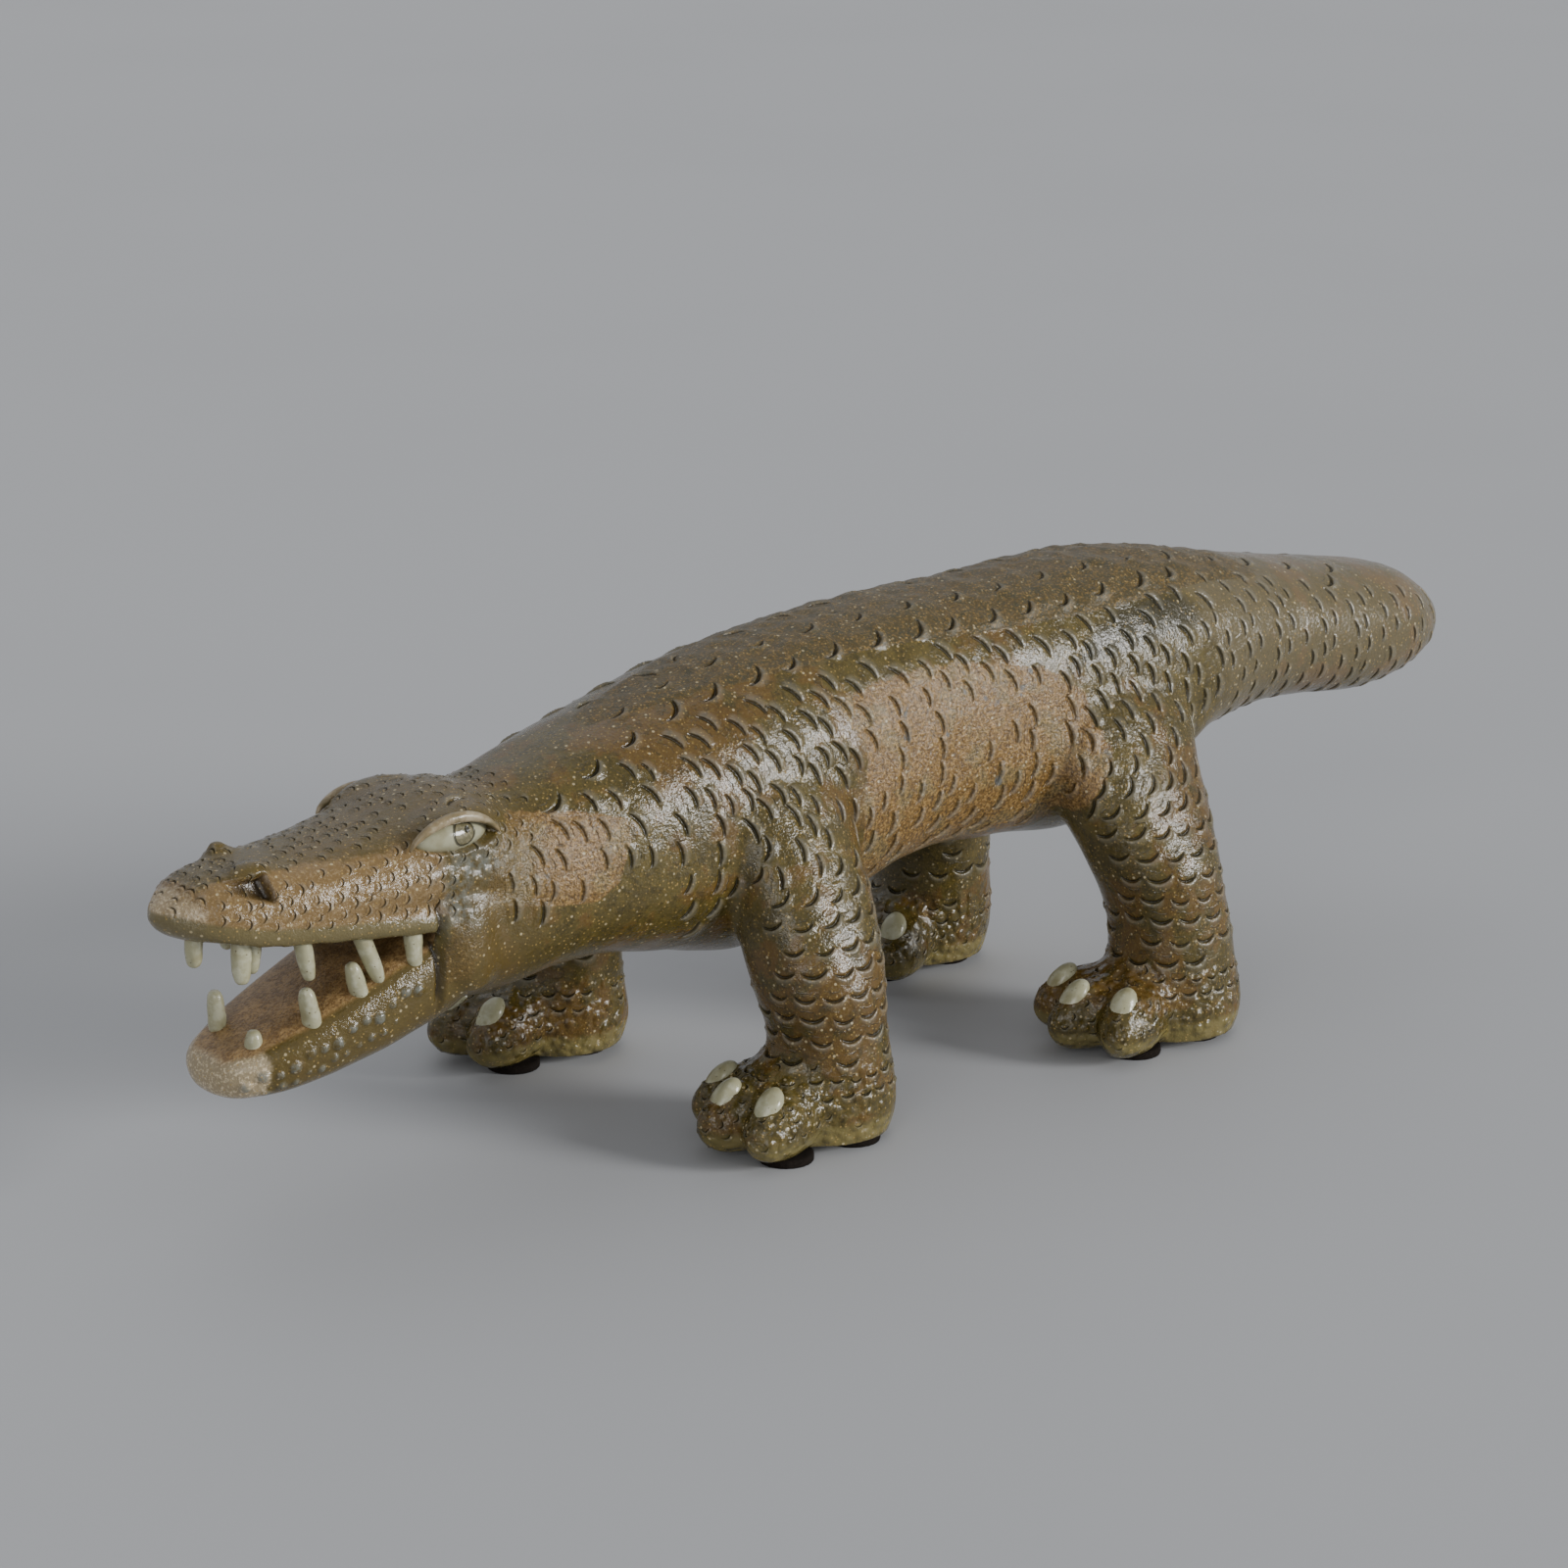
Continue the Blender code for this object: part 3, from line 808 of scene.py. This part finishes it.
colour = layered(
    bare,
    (0.062, 0.046, 0.01),
    ((0.096, 0.072, 0.016), middling.rise(0.35, 0.65)),
    ((0.108, 0.05, 0.01), rust * 0.6),
    ((0.034, 0.026, 0.006), small.rise(0.5, 0.62) * 0.6),
    ((0.165, 0.112, 0.026), grain.rise(0.52, 0.64) * 0.5),
    ((0.032, 0.027, 0.01), band * 0.85),
    ((0.118, 0.093, 0.045), (tail + ragged * 0.7).rise(0.25, 0.75) * 0.85),
    ((0.06, 0.052, 0.024), tail * dark_grain * 0.4),
    ((0.15, 0.094, 0.042), tail * rust * 0.55),
    ((0.062, 0.042, 0.008), back * 0.85),
    ((0.04, 0.035, 0.011), back * small.rise(0.48, 0.6) * 0.8),
    ((0.22, 0.13, 0.03), back * light_grain * 0.7),
    ((0.165, 0.09, 0.022), bare_clay * 0.92),
    ((0.155, 0.122, 0.05), bare_clay * middling.rise(0.5, 0.62) * 0.7),
    ((0.42, 0.26, 0.095), bare_clay * light_grain * 0.6),
    ((0.05, 0.028, 0.01), bare_clay * dark_grain * 0.75),
    ((0.075, 0.085, 0.085), bare_clay * places.cloud(9, 2).rise(0.68, 0.74) * 0.8),
    ((0.09, 0.062, 0.015), head * 0.75),
    ((0.19, 0.118, 0.045), (snout + ragged * 0.8).rise(0.35, 0.75) * 0.8),
    ((0.33, 0.24, 0.13), snout * light_grain * 0.5),
    # Pale pinkish tan on the jaw's and snout's tips: partly their own tone, partly painted light.
    ((0.6, 0.49, 0.32), (pale_tips_and_light + ragged * 0.7).rise(0.35, 0.75) * (light_grain * 0.6 + 0.4)),
    ((0.32, 0.198, 0.078), mouth),
    ((0.1, 0.05, 0.016), mouth * small.rise(0.42, 0.58) * 0.55),
    ((0.12, 0.066, 0.024), mouth * dark_grain * 0.8),
    ((0.36, 0.25, 0.12), mouth * light_grain * 0.45),
    ((0.12, 0.098, 0.04), lip * 0.9),
    ((0.17, 0.138, 0.045), (sole + ragged * 0.6).rise(0.3, 0.8) * 0.8),
    ((0.155, 0.165, 0.14), greyish * small.rise(0.35, 0.6) * 0.8),
    # Painted shade: near black in the nostril recesses and along the slit at the cheek flap's edge.
    ((0.02, 0.013, 0.005), painted_recess_shade * 0.95),
    ((0.36, 0.24, 0.075), fine_specks * (1 - mouth) * 0.75),
    ((0.46, 0.38, 0.22), speckles * (1 - mouth) * 0.8),
    # Pale lip of each cut: glaze breaking thin on the edge, and a painted highlight.
    ((0.36, 0.345, 0.28), crest * 0.5),
    ((0.022, 0.02, 0.012), groove * (1 - bare_clay * 0.4) * 0.88),
)
pebbles = places.soft_cells(4, 0.6)
rough_parts = (back + bare_clay + mouth).rise(0, 1)
peel = places.cloud(0.8, 2, 0.5)
height = (small - 0.5) * 0.42 + (grain - 0.5) * (0.13 + rough_parts * 0.3)
height = height + (middling - 0.5) * 0.5 + crest * 0.42 - groove * 0.5 + (peel - 0.5) * 0.16
height = height - pebbles.rise(0.1, 0.75) * pebbled * 1.15
roughness = 0.11 + (middling - 0.5) * 0.14 + back * 0.22 + bare_clay * 0.04
roughness = roughness + mouth * 0.25 + grain * 0.1
finish_glaze(made, colour, roughness, height.bump(), IOR=1.5)
olive_glaze = made

# The skin is divided in three places only because a mesh holds 200,000 triangles: all sides keep
# the whole form's normals, so no seam shows.
BEHIND_SHOULDERS, BEFORE_HAUNCHES = -58, 82
_, outward = points_of(body.data)
keep(body.data, "whole_normal", *outward.T)
face_x = np.empty(len(body.data.polygons) * 3)
body.data.polygons.foreach_get("center", face_x)
face_x = face_x[::3] * 1000 + CENTRE[0]
for name, first, last in (("glazed_head", -math.inf, NECK),
                          ("glazed_shoulders", NECK, BEHIND_SHOULDERS),
                          ("glazed_flanks", BEHIND_SHOULDERS, BEFORE_HAUNCHES),
                          ("glazed_haunches", BEFORE_HAUNCHES, math.inf)):
    part = bmesh.new()
    part.from_mesh(body.data)
    part.faces.ensure_lookup_table()
    dropped = np.flatnonzero((face_x < first) | (face_x >= last))
    bmesh.ops.delete(part, geom=[part.faces[i] for i in dropped], context="FACES")
    piece = object_from(name, part)
    stored = np.empty(len(piece.data.vertices) * 3, np.float32)
    piece.data.attributes["whole_normal"].data.foreach_get("vector", stored)
    piece.data.normals_split_custom_set_from_vertices(stored.reshape(-1, 3).tolist())
    piece.data.attributes.remove(piece.data.attributes["whole_normal"])
    piece.data.materials.clear()
    piece.data.materials.append(olive_glaze)
    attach(piece, "root")
    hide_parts("komodo_dragon")
bpy.data.objects.remove(body)


# Teeth: fourteen hand rolled pegs of pale clay under an ivory glaze, pushed into both jaws before
# firing. Each has its root, its tip and half its thickness.
TEETH = (
    ((-298, -4, 108), (-298.5, -4, 96), 3.4),
    ((-286, -13, 107), (-286.5, -14, 90), 3.45),
    ((-279, -10, 107), (-279.5, -9, 91), 3.25),
    ((-267, -19, 107), (-264, -20, 88), 3.45),
    ((-247, -21, 107), (-238, -23, 82), 3.45),
    ((-225, -23, 107), (-225, -25, 85), 3.45),
    ((-277, 12, 107), (-275, 12, 93), 3.25),
    ((-256, 16, 107), (-255, 17, 91), 3.25),
    ((-234, 21, 107), (-232, 22, 88), 3.4),
    ((-281, 10, 62), (-282, 10, 80.5), 3.4),
    ((-281, -11, 58), (-281, -11, 72), 3.6),
    ((-262, -19, 67), (-266, -20, 85.5), 3.6),
    ((-244, -21, 75), (-249, -22, 91), 3.45),
    ((-236, 21, 79), (-239, 21, 95), 3.45),
)


def uneven(clay, first, depth, per_metre):
    """Gives the clay's points from first on the small dents that fingers leave."""
    clay.verts.ensure_lookup_table()
    for vert in clay.verts[first:]:
        vert.co += vert.co.normalized() * depth * noise.noise(vert.co * per_metre)


def peg(clay, root, tip, thick):
    """A rolled peg with a round, slightly crooked tip."""
    first = len(clay.verts)
    run = Vector(tip) - Vector(root)
    yaw = math.degrees(math.atan2(run.y, run.x))
    pitch = math.degrees(math.asin(run.z / run.length))
    lump(clay, (Vector(root) + Vector(tip)) / 2, (run.length / 2, thick * 1.06, thick * 0.94),
         yaw, pitch, (20, 14), 0.16, 3.4)
    uneven(clay, first, 0.00035, 260)


clay = bmesh.new()
for root, tip, thick in TEETH:
    peg(clay, root, tip, thick)
teeth = object_from("teeth", clay)
smooth(teeth)
made, bare, places = start_glaze("ivory_glaze")
stains = places.cloud(5, 4, 0.6)
pinholes = 1 - places.cells(2.6).rise(0.07, 0.13)
colour = layered(
    bare,
    (0.34, 0.325, 0.2),
    ((0.44, 0.43, 0.3), stains.rise(0.45, 0.65)),
    ((0.22, 0.19, 0.09), places.cloud(9, 3).rise(0.52, 0.7) * 0.6),
    ((0.17, 0.13, 0.06), pinholes * 0.8),
)
height = (places.cloud(2.5, 3) - 0.5) * 0.2 - pinholes * 0.25
finish_glaze(made, colour, 0.18 + stains * 0.12, height.bump())
teeth.data.materials.append(made)
ivory_glaze = made
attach(teeth, "root")
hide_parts("komodo_dragon")


# Claws: one almond of the same pale clay and glaze on the top of each toe, pressed on before
# firing.
CLAW = (8, 5.1, 4.2)
CLAW_BACK, CLAW_HEIGHT = 10.5, 19
clay = bmesh.new()
for leg in LEGS:
    for tip, angle in toes(leg):
        first = len(clay.verts)
        lump(clay, tip - heading(angle) * CLAW_BACK + Vector((0, 0, CLAW_HEIGHT)), CLAW,
             yaw=180 - angle, pitch=-48, rounds=(20, 14))
        uneven(clay, first, 0.0004, 220)
claws = object_from("claws", clay)
smooth(claws)
claws.data.materials.append(ivory_glaze)
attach(claws, "root")
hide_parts("komodo_dragon")


# Eyes: a celadon eyeball in each socket with its iris and pupil painted in slip, and a rolled
# upper lid over it.
EYEBALL = (15.5, 7.6, 6.2)
IRIS_EDGE = 3.75
LID_LONG = 35
made, bare, places = start_glaze("eye_glaze")
ring, left_over, _ = bare.stored("iris")
flecks = places.cloud(1.2, 3, 0.7)
colour = layered(
    bare,
    (0.34, 0.33, 0.22),
    ((0.28, 0.26, 0.16), places.cloud(6, 3).rise(0.45, 0.65)),
    ((0.125, 0.112, 0.06), 1 - ring.rise(3.5, 3.9)),
    ((0.2, 0.175, 0.1), (1 - ring.rise(3.0, 3.5)) * flecks.rise(0.45, 0.6)),
    ((0.035, 0.032, 0.02), (1 - abs(ring - IRIS_EDGE).rise(0.15, 0.5)) * 0.85),
    ((0.03, 0.028, 0.018), 1 - left_over.rise(1.1, 1.4)),
)
height = (places.cloud(2.5, 2) - 0.5) * 0.1 - (1 - left_over.rise(0.8, 1.4)) * 0.3
height = height - (1 - abs(ring - IRIS_EDGE).rise(0.1, 0.5)) * 0.25
finish_glaze(made, colour, 0.16, height.bump())
eye_glaze = made
made, bare, places = start_glaze("lid_glaze")
mottle_and_highlight = places.cloud(4, 4, 0.6)
# The paler mottle is partly painted highlight on the lid's tan glaze.
colour = layered(
    bare,
    (0.22, 0.165, 0.085),
    ((0.34, 0.28, 0.18), mottle_and_highlight.rise(0.45, 0.65)),
    ((0.14, 0.11, 0.05), places.cloud(9, 3).rise(0.55, 0.7)),
)
height = (places.cloud(2, 3) - 0.5) * 0.25
finish_glaze(made, colour, 0.25 + mottle_and_highlight * 0.1, height.bump())
lid_glaze = made
for side, name, crest in ((-1, "left", 8.8), (1, "right", 5.4)):
    clay = bmesh.new()
    lump(clay, (-209.5, side * 23.4, 119.6 + crest), EYEBALL, pitch=2, rounds=(40, 28))
    eyeball = object_from(f"{name}_eyeball", clay)
    smooth(eyeball)
    spots, _ = points_of(eyeball.data)
    for_iris = np.hypot(spots[:, 0] + 207.6, spots[:, 2] - 129.6) * 0.87
    for_pupil = np.hypot(spots[:, 0] + 206.4, spots[:, 2] - 130.8)
    far_side = (np.sign(spots[:, 1]) * side < 0) | (np.abs(spots[:, 1]) < 22)
    keep(eyeball.data, "iris", np.where(far_side, FAR, for_iris),
         np.where(far_side, FAR, for_pupil))
    eyeball.data.materials.append(eye_glaze)
    clay = bmesh.new()
    rings = []
    for i in range(33):
        t = i / 32
        bow = (4 * t * (1 - t)) ** 0.75
        wide = 0.6 + 1.4 * (4 * t * (1 - t)) ** 0.5
        spot = Vector((-227.5 + LID_LONG * t, side * (27.2 + 2.6 * t + 1.5 * bow),
                       126.8 + crest * bow))
        ring = []
        for j in range(12):
            angle = math.tau * j / 12
            ring.append(place(spot.x, spot.y + side * wide * math.cos(angle),
                              spot.z + wide * math.sin(angle)))
        rings.append(ring)
    skin_over(clay, rings)
    bmesh.ops.recalc_face_normals(clay, faces=clay.faces)
    lid = object_from(f"{name}_eyelid", clay)
    smooth(lid)
    lid.data.materials.append(lid_glaze)
    for piece in (eyeball, lid):
        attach(piece, "root")
        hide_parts("komodo_dragon")


# Felt pads: two round pads of pressed brown felt under each foot, stuck on, with a fuzzy edge.
made, bare, places = start_glaze("brown_felt")
fuzz = places.cloud(0.7, 5, 0.8)
tufts = places.cloud(3, 3)
colour = layered(bare, (0.012, 0.009, 0.007), ((0.028, 0.021, 0.016), fuzz.rise(0.5, 0.7)),
                 ((0.006, 0.005, 0.004), tufts.rise(0.55, 0.7) * 0.6))
height = fuzz * 0.5 + tufts * 0.3
finish_glaze(made, colour, 0.95, height.bump(), Specular_IOR_Level=0.1)
# The pad's outline: millimetres in from its full radius, and the share of its height.
OUTLINE = ((0.9, 0), (0.2, 0.02), (0, 0.2), (0, 0.75), (0.25, 0.98), (1.2, 1))
for node in sorted(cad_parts):
    if not node.endswith("_pad"):
        continue
    low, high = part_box(node)
    middle_of, radius = (low + high) / 2, (high.x - low.x) / 2
    felt = bmesh.new()
    rings = []
    for inset, up in OUTLINE:
        ring = []
        for i in range(72):
            angle = math.tau * i / 72
            way = Vector((math.cos(angle), math.sin(angle), 0))
            fuzz_at = way * 9 + Vector((middle_of.x * 90, up * 2, 0))
            ragged_edge = 0.25 * (noise.noise(fuzz_at) - 0.5)
            spot = middle_of + way * (radius - (inset - ragged_edge) / 1000)
            ring.append(Vector((spot.x, spot.y, low.z + (high.z - low.z) * up)))
        rings.append(ring)
    skin_over(felt, rings)
    bmesh.ops.recalc_face_normals(felt, faces=felt.faces)
    pad = object_from(f"felt_{node}", felt)
    smooth(pad)
    pad.data.materials.append(made)
    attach(pad, "root")
    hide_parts(node)


# Floor and light: a wide pale grey paper floor in a pale grey studio with three soft lights.
WIDE = 9
sweep = bmesh.new()
corners = [sweep.verts.new((x * WIDE, y * WIDE, 0))
           for x, y in ((-1, -1), (1, -1), (1, 1), (-1, 1))]
sweep.faces.new(corners)
floor = object_from("floor", sweep)
made, bare, places = start_glaze("floor_paper")
colour = layered(bare, (0.41, 0.415, 0.425),
                 ((0.402, 0.407, 0.417), places.cloud(400, 3).rise(0.4, 0.7)))
finish_glaze(made, colour, 0.6)
floor.data.materials.append(made)
studio = bpy.data.worlds.new("studio")
studio.use_nodes = True
background = studio.node_tree.nodes["Background"].inputs
background["Color"].default_value = (0.78, 0.8, 0.84, 1)
background["Strength"].default_value = 0.6
bpy.context.scene.world = studio

# A large softbox low to the right of the camera, a weak one above and behind the figure and a
# weaker one than the first to the left light figure and floor alike, so each is a broad sun: the
# way to it, its energy and its width in degrees.
for name, way, energy, width in (("key", (0.53, -0.8, 0.3), 3.3, 18),
                                 ("above", (0.2, 0.5, 0.84), 0.3, 60),
                                 ("fill", (-0.75, -0.55, 0.36), 0.7, 30)):
    light = bpy.data.lights.new(name, "SUN")
    light.energy = energy
    light.angle = math.radians(width)
    lamp = bpy.data.objects.new(name, light)
    lamp.rotation_euler = Vector(way).to_track_quat("Z", "Y").to_euler()
    bpy.context.scene.collection.objects.link(lamp)
